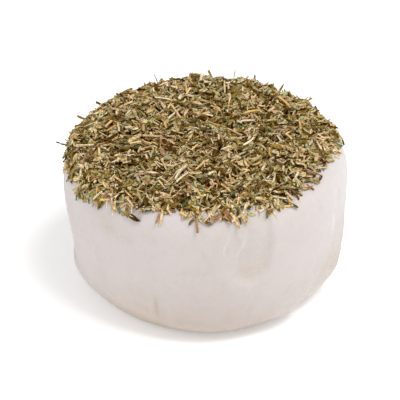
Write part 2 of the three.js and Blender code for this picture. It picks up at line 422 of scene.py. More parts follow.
def rind_paint(settings):
    """White mould: matt and velvety, thinner and warmer in patches and towards the foot, where the darkening
    is partly painted shade; with painted shade along the front hollow's lip, painted highlights on lifted
    skin, and painted rim light along the right edge.
    """
    paint = Paint("bloomy_rind")
    place = paint.node("ShaderNodeTexCoord", out="Object")
    bare, stain, bloom = (paint.attribute(name) for name in ("bare", "stain", "bloom"))
    cloud = paint.noise(place, 90, detail=4, roughness=0.6)
    fleck = paint.noise(place, 420, detail=3, roughness=0.65)
    thin = paint.spread(cloud * 0.6 + fleck * 0.4, 0.4, 0.66)
    fuzz = paint.noise(place, 2600, detail=3, roughness=0.7)
    pores = paint.noise(place, 700, roughness=0.6)
    pits = 1 - paint.spread(fuzz * 0.5 + pores * 0.5, 0.34, 0.52)
    # Towards the thin mould's colour in random patches, in the velvet's pits, and by the thin-mould tone,
    # which towards the foot and about the front hollow is painted shade
    shade = paint.mix(settings.bloom, settings.thin_bloom_and_shade, thin * 0.12 + pits * 0.12 + bare)
    grit = paint.spread(paint.noise(place, 1500, roughness=0.6), 0.4, 0.6)
    # Stains, and painted shade along the front hollow's lip and within it
    shade = paint.mix(shade, settings.stain, stain * (0.65 + fleck * 0.5 - grit * 0.6))
    # Thick white mould, with painted highlights on the lifted skin and painted rim light along the right edge
    shade = paint.mix(shade, settings.thick_bloom_and_light, bloom * (0.3 + cloud * 0.7 + grit * 0.6))
    paint.set(
        Base_Color=shade,
        Roughness=0.78 + thin * 0.12,
        Normal=paint.bump(fuzz * 0.5 + pores * 0.5, settings.fuzz_depth),
        Subsurface_Weight=0.15,
        Subsurface_Radius=(1.0, 0.7, 0.5),
        Subsurface_Scale=0.8 * MM,
        Specular_IOR_Level=0.25,
    )
    return paint.material


def herb_paint(name, shades, fibres, deep):
    """Dried plant matter: each flake has a shade of its own, with fibres along it, and painted shade deep in
    the coat.
    """
    paint = Paint(name)
    tone, damp = paint.attribute("tone"), paint.attribute("damp")
    own = paint.attribute("own", out="Vector")
    steps = len(shades) - 1
    shade = paint.ramp(tone, [(i / steps, c) for i, c in enumerate(shades)])
    fibre = paint.noise(paint.stretch(own, fibres), 1, roughness=0.6)
    blotch = paint.noise(own, 1400)
    dim = paint.spread(fibre * 0.65 + blotch * 0.35, 0.41, 0.56)
    shade = paint.mix(paint.tint(shade, deep), shade, dim)
    # Painted shade, darker and warmer, on the flakes deep in the coat
    paint.set(
        Base_Color=paint.mix(shade, paint.tint(shade, DEPTH_SHADE_TINT), damp),
        Roughness=0.72 + dim * 0.16,
        Normal=paint.bump(fibre, 0.06 * MM),
        Specular_IOR_Level=HERB_GLOSS,
    )
    return paint.material


def fines_and_gap_shade_paint(herbs):
    """The fine fragments that show between the flakes, in dark shades that are partly their own and partly
    painted shade of the gaps.
    """
    paint = Paint("herb_fines")
    place = paint.node("ShaderNodeTexCoord", out="Object")
    grain = paint.spread(paint.noise(place, 1400, detail=3, roughness=0.7), 0.35, 0.65)
    # Dark leaf and olive, partly painted shade of the gaps between the flakes
    shade = paint.mix(herbs.dark, herbs.olive, grain * 0.7)
    paint.set(Base_Color=shade, Roughness=0.9, Specular_IOR_Level=0.05)
    return paint.material


def floor_paint(settings):
    """Pale and matt, with a little light of its own."""
    paint = Paint("pale_floor")
    paint.set(Base_Color=settings.floor, Roughness=0.9, Specular_IOR_Level=0.2)
    paint.set(Emission_Color=settings.floor, Emission_Strength=settings.glow)
    return paint.material


# The drum's surface


def smooth(value, low, high):
    """A smooth step from 0 at low to 1 at high."""
    t = np.clip((value - low) / (high - low), 0, 1)
    return t * t * (3 - 2 * t)


def wall_offset(azimuth, height, middle, level):
    """Millimetres across and up the wall from a place on it."""
    turn = azimuth - math.radians(middle)
    return CHEESE_RADIUS / MM * np.arctan2(np.sin(turn), np.cos(turn)), height / MM - level


def rounded_square(aside, above):
    """Distance from the middle of a rounded square, 1 at its edge."""
    total = np.abs(aside) ** HOLLOW_SQUARENESS + np.abs(above) ** HOLLOW_SQUARENESS
    return total ** (1 / HOLLOW_SQUARENESS)


def hollow(azimuth, height, middle, level, across, up, depth, lip=0):
    """Depth of one hollow in the wall, with how much sharper its lip is than the rest of its edge."""
    aside, above = wall_offset(azimuth, height, middle, level)
    reach = np.minimum(rounded_square(aside / across, above / up), 3)
    sharpness = HOLLOW_SHARPNESS + lip * smooth(aside / across - above / up, *LIP_RANGE)
    lean = 1 - LIP_LEAN * (lip > 0) * np.clip(aside / across, -1, 1)
    return depth * MM * lean / (1 + reach ** (2 * sharpness))


def wall_relief(azimuth, height):
    """How far the wall stands out of the plain drum."""
    relief = np.zeros_like(azimuth)
    for depth, crests, phase, twist in WALL_WAVES:
        relief += depth * np.cos(crests * azimuth + phase + twist * height)
    relief -= hollow(azimuth, height, *THUMB_HOLLOW, LIP_SHARPNESS)
    for dent in WALL_DENTS:
        relief -= hollow(azimuth, height, *dent)
    return relief


def lifted_skin(azimuth, height):
    """How far lifted skin stands out, as a ridge at its right and a groove at its left."""
    relief = np.zeros_like(azimuth)
    for middle, level, across, up in BLISTERS:
        aside, above = wall_offset(azimuth, height, middle, level)
        past_rim = np.hypot(aside / across, above / up) - 1
        lean = np.clip(aside / across - LIFT_LEAN * above / up, -1, 1)
        relief += LIFT * lean * np.exp(-((past_rim / LIFT_WIDTH) ** 2))
    return relief


def scuffs_and_highlights(azimuth, height):
    """Strength of the pale scuffs, some of them painted highlights on lifted skin, from 0 to 1."""
    strength = np.zeros_like(azimuth)
    for middle, level, across, along, slant, most in SCUFFS_AND_HIGHLIGHTS:
        aside, above = wall_offset(azimuth, height, middle, level)
        aside = aside - slant * above - SCUFF_WAVE * np.sin(above / SCUFF_CURL)
        strength = np.maximum(strength, most * np.exp(-((aside / across) ** 2) - (above / along) ** 4))
    return strength


def patches(azimuth, height, places):
    """Strength of soft patches on the wall, from 0 to 1."""
    strength = np.zeros_like(azimuth)
    for middle, level, across, up, most in places:
        aside, above = wall_offset(azimuth, height, middle, level)
        strength = np.maximum(strength, most * np.exp(-((aside / across) ** 2) - (above / up) ** 2))
    return strength


def thin_mould_and_shade(points, azimuth):
    """How thin the mould is, from 0 to 1: most towards the foot at the front and the back. Towards the foot it
    is partly painted shade, less at the sides, and the patch about the front hollow is painted shade.
    """
    height = points[:, 2] + FOOT_DARKENING_WAVER * turbulence(points, FOOT_DARKENING_PATCH)
    foot = 1 - smooth(height, 0, FOOT_DARKENING_UP_TO * CHEESE_HEIGHT)
    sides = 1 - FOOT_DARKENING_SIDES * (1 - np.cos(2 * azimuth))
    return FOOT_THIN_AND_SHADE * foot**FOOT_DARKENING_FADE * sides + patches(azimuth, points[:, 2], THIN_MOULD_AND_SHADE_PATCHES)


def lip_shade(azimuth, height):
    """Strength of the painted shade along the lip of the hollow at the front, and within it."""
    middle, level, across, up, _ = THUMB_HOLLOW
    aside, above = wall_offset(azimuth, height, middle, level)
    past_lip = rounded_square(aside / across, above / up) - LIP_AT
    fade = np.where(past_lip > 0, LIP_SHADE_OUT, LIP_SHADE_IN)
    at_lip = LIP_SHADE * np.exp(-((past_lip / fade) ** 2)) * smooth(aside / across - above / up, 0, 1)
    within = HOLLOW_SHADE * (past_lip < 0) * smooth(aside / across, -0.7, 0.5)
    return np.maximum(at_lip, within)


class Drum:
    """The drum's half section as a fine line, and points on the rind that it sweeps."""

    STEPS = 400

    def __init__(self):
        foot = CHEESE_RADIUS - WALL_TAPER
        wall_top = CHEESE_HEIGHT - SHOULDER_DOWN
        t = np.linspace(0, 1, self.STEPS)
        turn = t * math.pi / 2
        top = (t * (CHEESE_RADIUS - SHOULDER_IN), np.full_like(t, CHEESE_HEIGHT))
        shoulder = (
            CHEESE_RADIUS - SHOULDER_IN + SHOULDER_IN * np.sin(turn),
            wall_top + SHOULDER_DOWN * np.cos(turn),
        )
        bow = ((1 - t) ** 2, 2 * t * (1 - t), t**2)
        wall = (
            bow[0] * CHEESE_RADIUS + bow[1] * (CHEESE_RADIUS + WALL_BULGE) + bow[2] * foot,
            bow[0] * wall_top + bow[1] * (wall_top + FOOT_UP) / 2 + bow[2] * FOOT_UP,
        )
        rounding = (foot - FOOT_IN + FOOT_IN * np.cos(turn), FOOT_UP - FOOT_UP * np.sin(turn))
        base = ((1 - t) * (foot - FOOT_IN), np.zeros_like(t))
        parts = [np.stack(part, 1) for part in (top, shoulder, wall, rounding, base)]
        line = np.concatenate([parts[0], *(part[1:] for part in parts[1:])])
        self.line = line
        self.run = np.concatenate([[0], np.cumsum(np.linalg.norm(np.diff(line, axis=0), axis=1))])
        slope = np.gradient(line, self.run, axis=0)
        self.slope = slope / np.linalg.norm(slope, axis=1, keepdims=True)

    def section(self, run):
        """Radius, height and downhill slope of the section at each run."""
        return [np.interp(run, self.run, values) for values in (*self.line.T, *self.slope.T)]

    def point(self, run, azimuth, lift=0.0):
        """Points on the rind at a run and an azimuth, lifted along the drum's normal."""
        radius, height, out, down = self.section(run)
        radius = np.maximum(radius - down * lift, 0)
        height = height + out * lift
        grown = smooth(height, 0, RELIEF_STARTS) * (radius / CHEESE_RADIUS) ** 2
        radius = radius + grown * wall_relief(azimuth, height)
        return np.stack([radius * np.sin(azimuth), -radius * np.cos(azimuth), height], -1)

    def axes(self, run, azimuth):
        """Downhill, across and outward directions of the drum at each run and azimuth."""
        _, _, out, down = self.section(run)
        size = np.hypot(out, down)
        out, down = out / size, down / size
        downhill = np.stack([out * np.sin(azimuth), -out * np.cos(azimuth), down], -1)
        across = np.stack([np.cos(azimuth), np.sin(azimuth), np.zeros_like(azimuth)], -1)
        return downhill, across, np.cross(downhill, across)


def coat_edge(azimuth):
    """The run at which the herbs end."""
    run = EDGE_RUN + np.zeros_like(azimuth)
    for middle, width, further in EDGE_TONGUES:
        turn = azimuth - math.radians(middle)
        turn = np.arctan2(np.sin(turn), np.cos(turn))
        run = run + further * np.exp(-((turn / math.radians(width)) ** 2))
    for depth, crests, phase in EDGE_RAGGED:
        run = run + depth * np.cos(crests * azimuth + phase)
    return run


def turbulence(points, size, octaves=3):
    """Soft noise from about -1 to 1 whose lumps have that size."""
    return np.array([noise.fractal(Vector(p / size), 1.0, 2.0, octaves) for p in points])


# Meshes


def make_object(name, points, faces, material, sharp=None):
    """A smooth-shaded mesh in the scene, with sharp edges where faces meet at more than an angle."""
    mesh = bpy.data.meshes.new(name)
    mesh.from_pydata(np.asarray(points).tolist(), [], faces)
    mesh.polygons.foreach_set("use_smooth", np.ones(len(mesh.polygons), bool))
    if sharp is not None:
        mesh.set_sharp_from_angle(angle=sharp)
    mesh.materials.append(material)
    mesh.update()
    made = bpy.data.objects.new(name, mesh)
    bpy.context.scene.collection.objects.link(made)
    return made


def swept_faces(rows, sectors):
    """Faces of a closed skin: a pole, rows of sectors, and a second pole."""
    ring = np.arange(sectors)
    following = (ring + 1) % sectors
    faces = [[0, 1 + b, 1 + a] for a, b in zip(following, ring)]
    for row in range(rows - 1):
        low = 1 + row * sectors
        high = low + sectors
        faces += np.stack([low + ring, high + ring, high + following, low + following], 1).tolist()
    last = 1 + (rows - 1) * sectors
    faces += [[last + a, last + b, 1 + rows * sectors] for a, b in zip(following, ring)]
    return faces


def rind_mesh(drum, settings):
    """Points, faces and tones of the whole rind, with its waves, hollows, creases, pleats and wrinkles."""
    flat_end = np.searchsorted(drum.run, CHEESE_RADIUS - SHOULDER_IN - ROWS_MARGIN)
    base_start = len(drum.run) - Drum.STEPS
    runs = np.concatenate([
        np.linspace(0, drum.run[flat_end], FLAT_ROWS)[1:],
        np.arange(drum.run[flat_end] + RIND_STEP, drum.run[base_start] + ROWS_MARGIN / 2, RIND_STEP),
        np.linspace(drum.run[base_start] + ROWS_MARGIN, drum.run[-1], BASE_ROWS)[:-1],
    ])
    azimuth = np.linspace(-math.pi, math.pi, RIND_SECTORS, endpoint=False)
    run_grid, turn_grid = (g.ravel() for g in np.meshgrid(runs, azimuth, indexing="ij"))
    points = drum.point(run_grid, turn_grid)
    height = points[:, 2]
    radius = np.hypot(points[:, 0], points[:, 1])
    on_wall = smooth(height, *RELIEF_HEIGHTS) * smooth(radius / CHEESE_RADIUS, *RELIEF_RADII)
    wrinkle = turbulence(points, WRINKLE_SIZE) + 0.5 * turbulence(points, FINE_WRINKLE_SIZE)
    pleated = PLEATS_ELSEWHERE + np.exp(-(((turn_grid - PLEATS_AT) / PLEATS_WIDTH) ** 2))
    relief = settings.swell_depth * turbulence(points, SWELL_SIZE)
    relief += settings.wrinkle_depth * wrinkle
    relief += settings.pleat_depth * pleated * turbulence(points * PLEAT_STRETCH, PLEAT_SIZE, 2)
    relief += lifted_skin(turn_grid, height)
    for crease in CREASES:
        relief -= hollow(turn_grid, height, *crease)
    outward = np.stack([np.sin(turn_grid), -np.cos(turn_grid), np.zeros_like(turn_grid)], 1)
    points = points + (on_wall * relief)[:, None] * outward
    # The stains carry the painted shade along the front hollow's lip too
    stains_and_shade = np.maximum(patches(turn_grid, height, STAINS), lip_shade(turn_grid, height))
    # The blooms and scuffs carry painted highlights on the lifted skin and painted rim light along the right
    # edge too
    blooms_and_light = np.maximum(patches(turn_grid, height, BLOOMS_AND_LIGHT), scuffs_and_highlights(turn_grid, height))
    # The foot's darkening and the patch about the front hollow are partly painted shade
    tones = {"stain": stains_and_shade, "bloom": blooms_and_light, "bare": thin_mould_and_shade(points, turn_grid)}
    points = np.concatenate([[[0, 0, CHEESE_HEIGHT]], points, [[0, 0, 0]]])
    return points, swept_faces(len(runs), RIND_SECTORS), tones


def bed_height(share, settings):
    """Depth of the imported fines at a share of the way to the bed's edge."""
    return settings.bed_depth * (1 - sum(0.5 * smooth(share, *over) for over in BED_THINS))


def bed_edge(azimuth):
    """The run at which the bed ends."""
    return coat_edge(azimuth) - BED_INSET


def bed_mesh(drum, settings):
    """Points and faces of the bed of fines that the flakes lie on, closed under the rind's surface."""
    azimuth = np.linspace(0, TAU, BED_SECTORS, endpoint=False)
    shares = np.sqrt(np.linspace(0, 1, BED_ROWS + 1)[1:])
    share_grid, turn_grid = (g.ravel() for g in np.meshgrid(shares, azimuth, indexing="ij"))
    run = share_grid * bed_edge(turn_grid)
    flat = drum.point(run, turn_grid)
    bumps = BED_BUMP * turbulence(flat, BED_BUMP_SIZE, 2) * (1 - smooth(share_grid, 0.9, 1))
    upper = drum.point(run, turn_grid, bed_height(share_grid, settings) + bumps)
    lower = drum.point(run, turn_grid, -BED_SINK).reshape(BED_ROWS, BED_SECTORS, 3)
    lower = lower[::-1].reshape(-1, 3)
    top = [[0, 0, CHEESE_HEIGHT + settings.bed_depth]]
    under = [[0, 0, CHEESE_HEIGHT - BED_SINK]]
    return np.concatenate([top, upper, lower, under]), swept_faces(2 * BED_ROWS, BED_SECTORS)


# Herb flakes, each along its own X axis


def plate_template(along, across):
    """Flat positions from -1 to 1, side, and faces of a closed thin plate."""
    u, v = np.meshgrid(np.linspace(-1, 1, along + 1), np.linspace(-1, 1, across + 1), indexing="ij")
    count, width = u.size, across + 1
    cells = [i * width + j for i in range(along) for j in range(across)]
    upper = [[c, c + width, c + width + 1, c + 1] for c in cells]
    lower = [[count + k for k in face[::-1]] for face in upper]
    border = list(range(width))
    border += [i * width + across for i in range(1, along + 1)]
    border += [along * width + j for j in range(across - 1, -1, -1)]
    border += [i * width for i in range(along - 1, 0, -1)]
    rim = [[a, b, count + b, count + a] for a, b in zip(border, border[1:] + border[:1])]
    sides = np.concatenate([np.ones(count), -np.ones(count)])
    return np.tile(u.ravel(), 2), np.tile(v.ravel(), 2), sides, upper + lower + rim


def tube_template(rings, corners):
    """Position along from -1 to 1, turn about the axis, and faces of a closed tube."""
    turn = np.linspace(0, TAU, corners, endpoint=False)
    u = np.repeat(np.linspace(-1, 1, rings), corners)
    ring = list(range(corners))
    faces = [ring[::-1], [(rings - 1) * corners + k for k in ring]]
    for low in range(0, (rings - 1) * corners, corners):
        high = low + corners
        pairs = zip(ring, ring[1:] + ring[:1])
        faces += [[low + a, low + b, high + b, high + a] for a, b in pairs]
    return u, np.tile(turn, rings), faces


def column(rng, low, high, count):
    """One random value for each flake."""
    return rng.uniform(low, high, (count, 1))


def half_sizes(size):
    """Half length, width and thickness of each flake, as columns."""
    return (size[:, k : k + 1] / 2 for k in range(3))


def stem_shapes(rng, size):
    """Snapped stems: slightly bent, some split along their length, with ragged ends."""
    u, turn, faces = tube_template(4, 5)
    half, wide, thick = half_sizes(size)
    count = len(size)
    ragged = (np.abs(u) > 0.99) * rng.uniform(-0.16, 0.05, (count, len(u)))
    x = half * (u + np.sign(u) * ragged)
    girth = 1 + column(rng, -0.2, 0.2, count) * u
    split = column(rng, 0.1, 1.0, count)
    bend = 1 - 1.6 * u**2
    sway = half * column(rng, -1, 1, count) ** 3 * 0.09 * bend
    arch = half * column(rng, -1, 1, count) ** 3 * 0.07 * bend
    y = wide * girth * np.cos(turn) + sway
    z = np.maximum(thick * np.sin(turn), -thick * split) * girth + arch
    return np.stack([x, y, z], -1), faces


def leaf_shapes(rng, size, along=3, across=2, tip=(0.4, 1.0), fold=(-0.5, 0.9), ragged=0.26):
    """Scraps of leaf: narrow at the ends, folded along the rib, curled and twisted."""
    u, v, side, faces = plate_template(along, across)
    half, wide, thick = half_sizes(size)
    count = len(size)
    front, back = column(rng, *tip, count), column(rng, 0.1, 0.8, count)
    outline = 1 - np.where(u > 0, front, back) * np.abs(u) ** column(rng, 1.0, 2.6, count)
    lean = column(rng, -0.4, 0.4, count)
    corner = len(u) // 2
    jitter = np.tile(rng.uniform(-ragged, ragged, (count, corner)), 2)
    y = wide * v * (outline + jitter)
    x = half * (u + 0.6 * jitter) + lean * y
    arch = column(rng, -0.22, 0.22, count) * half * (u**2 - 0.4)
    crease = column(rng, *fold, count) * wide * (np.abs(v) - 0.5)
    twist = column(rng, -0.4, 0.4, count) * wide * u * v
    z = arch + crease + twist + side * thick
    return np.stack([x, y, z], -1), faces


def needle_shapes(rng, size):
    """Narrow leaves with rolled edges, longer than wide."""
    return leaf_shapes(rng, size, 4, 2, tip=(0.4, 0.9), fold=(0.5, 1.5), ragged=0.08)


def husk_shapes(rng, size):
    """Flower husks: short, swollen and pinched."""
    u, turn, faces = tube_template(4, 5)
    half, wide, thick = half_sizes(size)
    count = len(size)
    swell = np.sqrt(np.maximum(1 - 0.8 * (u - column(rng, -0.3, 0.3, count)) ** 2, 0.08))
    dent = 1 + rng.uniform(-0.25, 0.25, (count, len(u)))
    y = wide * swell * dent * np.cos(turn)
    z = thick * swell * dent * np.sin(turn) + 0.3 * wide * u**2
    return np.stack([np.broadcast_to(half * u, y.shape), y, z], -1), faces


def crumb_shapes(rng, size):
    """Angular crumbs with few faces."""
    u, turn, faces = tube_template(2, 4)
    half, wide, thick = half_sizes(size)
    jag = 1 + rng.uniform(-0.45, 0.3, (len(size), len(u), 3))
    whole = np.stack([half * u, wide * np.cos(turn), thick * np.sin(turn)], -1)
    return whole * jag, faces


# Kinds of flake: shape, typical length, width and thickness, and spread of size
KINDS = {
    "stems": (stem_shapes, (1.65 * MM, 0.36 * MM, 0.24 * MM), 0.34),
    "leaves": (leaf_shapes, (1.4 * MM, 0.66 * MM, 0.12 * MM), 0.30),
    "needles": (needle_shapes, (1.8 * MM, 0.42 * MM, 0.12 * MM), 0.32),
    "greens": (leaf_shapes, (1.4 * MM, 0.85 * MM, 0.13 * MM), 0.28),
    "husks": (husk_shapes, (1.0 * MM, 0.6 * MM, 0.42 * MM), 0.25),
    "crumbs": (crumb_shapes, (0.6 * MM, 0.4 * MM, 0.26 * MM), 0.25),
}
# The longest flakes at the edge, in degrees and millimetres: kind, azimuth, run past the edge, length, width,
# heading, tone, and slope of those that stand up
OUTLIERS = (
    ("stems", -3.5, 1.6, 4.4, 0.6, 4, 0.97, 0),
    ("leaves", 0.5, 1.8, 2.2, 0.9, 70, 0.93, 0),
    ("leaves", 2.5, 0.6, 3.0, 1.4, 20, 0.05, 0),
    ("stems", 12, 1.5, 4.6, 0.7, 24, 0.6, 0),
    ("needles", 13.5, 0.8, 3.8, 0.6, 2, 0.8, 0),
    ("leaves", 9, 0.7, 3.0, 1.1, 30, 0.98, 0),
    ("stems", -39, 0.8, 4.2, 0.5, 28, 0.7, 0),
    ("leaves", -32, 0.4, 2.4, 1.0, 25, 0.72, 0),
    ("stems", -19, 1.0, 2.6, 0.6, -6, 0.98, 0),
    ("needles", 37, 0.1, 3.2, 0.7, 45, 0.7, 0),
    ("greens", -60, 0.8, 3.4, 0.9, -8, 0.6, 0),
    ("stems", 84, 0.4, 3.4, 0.4, 14, 0.4, 0),
    ("stems", 171, 0.8, 3.8, 0.5, -18, 0.5, 0),
    ("leaves", -133, 0.8, 3.0, 1.2, 22, 0.5, 0),
    ("needles", 128, 0.6, 3.6, 0.7, -30, 0.6, 0),
    ("greens", -91, -0.2, 4.4, 1.0, 8, 0.45, 1.7),
    ("needles", -157, -2.6, 3.4, 0.35, 10, 0.5, 2.6),
    ("stems", 167, -2.6, 3.8, 0.3, 10, 0.5, 2.8),
    ("needles", 145, -2.6, 4.2, 0.55, 12, 0.6, 2.0),
)
OUTLIER_ROUND = 0.8  # thickness of a long stem as a share of its width
# Sizes of the flakes
OWN_SPREAD = 0.12  # how far each measure varies by itself
HAIRS, HAIR_SIZE = 0.1, (1.3, 0.5, 0.6)  # share of the stems that are hair-thin, and their size
LARGE, LARGE_SIZE = 0.02, (1.75, 1.25, 1.2)  # share of the flakes that are much larger, and their size
LARGEST, LARGEST_AT_EDGE = 6.5 * MM, 3 * MM
WIDEST_STEM, WIDEST_LEAF, LONGEST_NEEDLE = 0.62 * MM, 1.25 * MM, 2.8 * MM
EDGE_GROWTH = (0.3, 0.2)  # how much longer and wider the flakes on the shoulder are
EDGE_GROWTH_OVER = (0.8, 0.95)  # shares of the way to the edge over which they grow
SIFT = 0.5  # how far the larger flakes come to lie on top
# Where they lie
THIN_FROM = 0.84  # share of the way to the edge from which the coat thins
THIN_SOONER_RIGHT = 0.08  # how much sooner it does so on the right
EDGE_THIN = 0.45  # share of the flakes that the edge lacks at the front, and none at the back
FRINGE = 0.8 * MM  # the last run before the edge, which flakes reach only by their length
SPILL = 0.022  # share of the flakes that lie past the coat's edge
SPILL_RUN, SPILL_SIZE = 0.5 * MM, 1.3 * MM  # how far past it they lie, and their least length
# How they lie
HANG_FROM = 0.9  # share of the way to the edge from which flakes point downhill
HANG_SPREAD = math.radians(80)  # the most by which they turn from it
HANG_OUT = 0.22  # how far hanging flakes turn their tips away from the wall
SHOULDER_ROUND = 5.5 * MM  # radius of the shoulder that they hang over
PRESS_FROM, PRESS_TO = 25 * MM, 33 * MM  # runs over which the coat comes to lie flatter on the shoulder
PRESSED, PRESSED_RIGHT = 0.42, 0.18  # how much flatter, and how much more so on the right
PROUD, PROUD_AT_RIM = 0.01, 0.05  # share of the larger flakes that stick up
PROUD_RIM = 0.8  # share of the way to the edge from which more of them do
PROUD_SIZE, PROUD_LARGEST = 1.6 * MM, (3 * MM, 0.6 * MM)  # their least length, and most length and width
PROUD_SLOPE, PROUD_LIFT = (0.5, 2.2), 0.3  # their slopes, and their lift as a share of their length
PROUD_TONE, PROUD_TONE_SPAN = 0.3, 0.4  # the least of their tones, and the span of them
DEPTH_SHADE_RANGE = (0.8 * MM, 2.2 * MM)  # heights over the rind between which the painted shade on deep flakes fades out
STEEPEST = 0.6  # slope of a flake that lies
SHARP_FROM = math.radians(50)  # angle between a flake's faces from which their edge is sharp
# The grid on which they settle
CELL, GRID_HALF = 0.2 * MM, 50 * MM
TOP_WEIGHT = 0.6  # how far a flake rests on the highest flakes under it, and otherwise on their mean height


@dataclass
class Flakes:
    """Arrays over all flakes, in the order in which they fall."""

    kind: np.ndarray
    size: np.ndarray
    run: np.ndarray
    azimuth: np.ndarray
    heading: np.ndarray
    tone: np.ndarray
    proud: np.ndarray
    rest: np.ndarray

    def damp(self):
        """How far each flake is darkened by painted shade for lying deep in the coat, from 0 to 1."""
        buried = 1 - smooth(self.rest[:, 0], *DEPTH_SHADE_RANGE)
        return buried * (1 - smooth(self.run, PRESS_FROM, PRESS_TO))

    def of_kind(self, kind):
        chosen = self.kind == kind
        return Flakes(*(values[chosen] for values in vars(self).values()))


def draw_sizes(rng, settings):
    """Every flake's kind and size, in the order in which they fall."""
    kinds, sizes = [], []
    for name, (_, typical, spread) in KINDS.items():
        count = getattr(settings, name)
        scale = np.exp(rng.normal(0, spread, (count, 1))) * np.exp(rng.normal(0, OWN_SPREAD, (count, 3)))
        kinds += [name] * count
        sizes.append(np.array(typical) * scale)
    kinds, sizes = np.array(kinds), np.concatenate(sizes)
    count = len(kinds)
    hairs = (kinds == "stems") & (rng.random(count) < HAIRS)
    sizes[hairs] *= HAIR_SIZE
    large = rng.random(count) < LARGE
    sizes[large] *= LARGE_SIZE
    sizes[:, 1] = np.minimum(sizes[:, 1], np.where(kinds == "stems", WIDEST_STEM, WIDEST_LEAF))
    sizes[:, 0] = np.where(kinds == "needles", np.minimum(sizes[:, 0], LONGEST_NEEDLE), sizes[:, 0])
    order = np.argsort(rng.random(count) + SIFT * sizes[:, 0] / LARGEST)
    return kinds[order], sizes[order]


def draw_flakes(rng, settings):
    """Every flake's kind, size, place, heading, tone, and slope if it stands up."""
    kinds, sizes = draw_sizes(rng, settings)
    count = len(kinds)
    azimuth = rng.uniform(-math.pi, math.pi, count)
    edge = coat_edge(azimuth)
    inward = np.sqrt(rng.random(count))
    thin_from = THIN_FROM - THIN_SOONER_RIGHT * np.maximum(np.sin(azimuth), 0)
    loss = EDGE_THIN * (1 + np.cos(azimuth)) / 2
    thin = rng.random(count) > 1 - loss * smooth(inward, thin_from, 1)
    inward = np.where(thin, thin_from * np.sqrt(rng.random(count)), inward)
    spilt = (rng.random(count) < SPILL) & (sizes[:, 0] > SPILL_SIZE)
    past = np.minimum(rng.exponential(SPILL_RUN, count), 2 * SPILL_RUN)
    run = np.where(spilt, edge + past, inward * (edge - FRINGE))
    sizes[:, :2] *= 1 + np.array(EDGE_GROWTH) * smooth(run / edge, *EDGE_GROWTH_OVER)[:, None]
    sizes[:, 0] = np.minimum(sizes[:, 0], np.where(inward > HANG_FROM, LARGEST_AT_EDGE, LARGEST))
    heading = rng.uniform(-math.pi, math.pi, count)
    heading = np.where(run > HANG_FROM * edge, heading * HANG_SPREAD / math.pi, heading)
    chance = np.where(inward > PROUD_RIM, PROUD_AT_RIM, PROUD)
    stands = (rng.random(count) < chance) & (sizes[:, 0] > PROUD_SIZE)
    sizes[stands, :2] = np.minimum(sizes[stands, :2], PROUD_LARGEST)
    proud = np.where(stands & ~spilt, rng.uniform(*PROUD_SLOPE, count), 0)
    tone = rng.random(count)
    tone = np.where(stands, PROUD_TONE + PROUD_TONE_SPAN * tone, tone)
    return Flakes(kinds, sizes, run, azimuth, heading, tone, proud, np.zeros((count, 3)))


def add_outliers(flakes):
    """The flakes with the longest ones at the edge after them."""
    for kind, turn, past, long, wide, heading, tone, slope in OUTLIERS:
        thick = OUTLIER_ROUND * wide * MM if kind == "stems" else KINDS[kind][1][2]
        azimuth = np.array([math.radians(turn)])
        run = coat_edge(azimuth) + past * MM
        size, heading = [[long * MM, wide * MM, thick]], [math.radians(heading)]
        one = ([kind], size, run, azimuth, heading, [tone], [slope], np.zeros((1, 3)))
        flakes = Flakes(*(np.concatenate(pair) for pair in zip(vars(flakes).values(), one)))
    return flakes


def settle(flakes, settings):
    """Drops the flakes one by one on the unrolled top, and sets their heights, pitches and rolls."""
    axis = (np.arange(int(2 * GRID_HALF / CELL)) + 0.5) * CELL - GRID_HALF
    px, py = np.meshgrid(axis, axis, indexing="ij")
    depth = bed_height(np.hypot(px, py) / bed_edge(np.arctan2(px, -py)), settings)
    at_x, at_y = flakes.run * np.sin(flakes.azimuth), -flakes.run * np.cos(flakes.azimuth)
    facing = flakes.azimuth - math.pi / 2 + flakes.heading
    for i, (long, wide, thick) in enumerate(flakes.size):
        along = np.linspace(-long / 2, long / 2, max(4, int(long / CELL)))[:, None]
        aside = np.linspace(-wide / 2, wide / 2, max(3, int(wide / CELL)))[None, :]
        c, s = math.cos(facing[i]), math.sin(facing[i])
        ix = ((at_x[i] + along * c - aside * s + GRID_HALF) / CELL).astype(int)
        iy = ((at_y[i] + along * s + aside * c + GRID_HALF) / CELL).astype(int)
        under = depth[ix, iy]
        half, middle = under.shape[0] // 2, (under.shape[1] + 1) // 2
        ends = under[:half], under[half:]
        low, high = (TOP_WEIGHT * end.max() + (1 - TOP_WEIGHT) * end.mean() for end in ends)
        pitch = min(max((high - low) / (0.5 * long), -STEEPEST), STEEPEST)
        roll = (under[:, middle:].mean() - under[:, : under.shape[1] - middle].mean()) / (0.6 * wide)
        roll = min(max(roll, -STEEPEST), STEEPEST)
        height = (low + high) / 2 + thick / 2
        if flakes.proud[i]:
            flakes.rest[i] = height + PROUD_LIFT * long, flakes.proud[i], roll
            continue
        depth[ix, iy] = np.maximum(under, height + pitch * along + roll * aside + thick / 2)
        flakes.rest[i] = height, pitch, roll


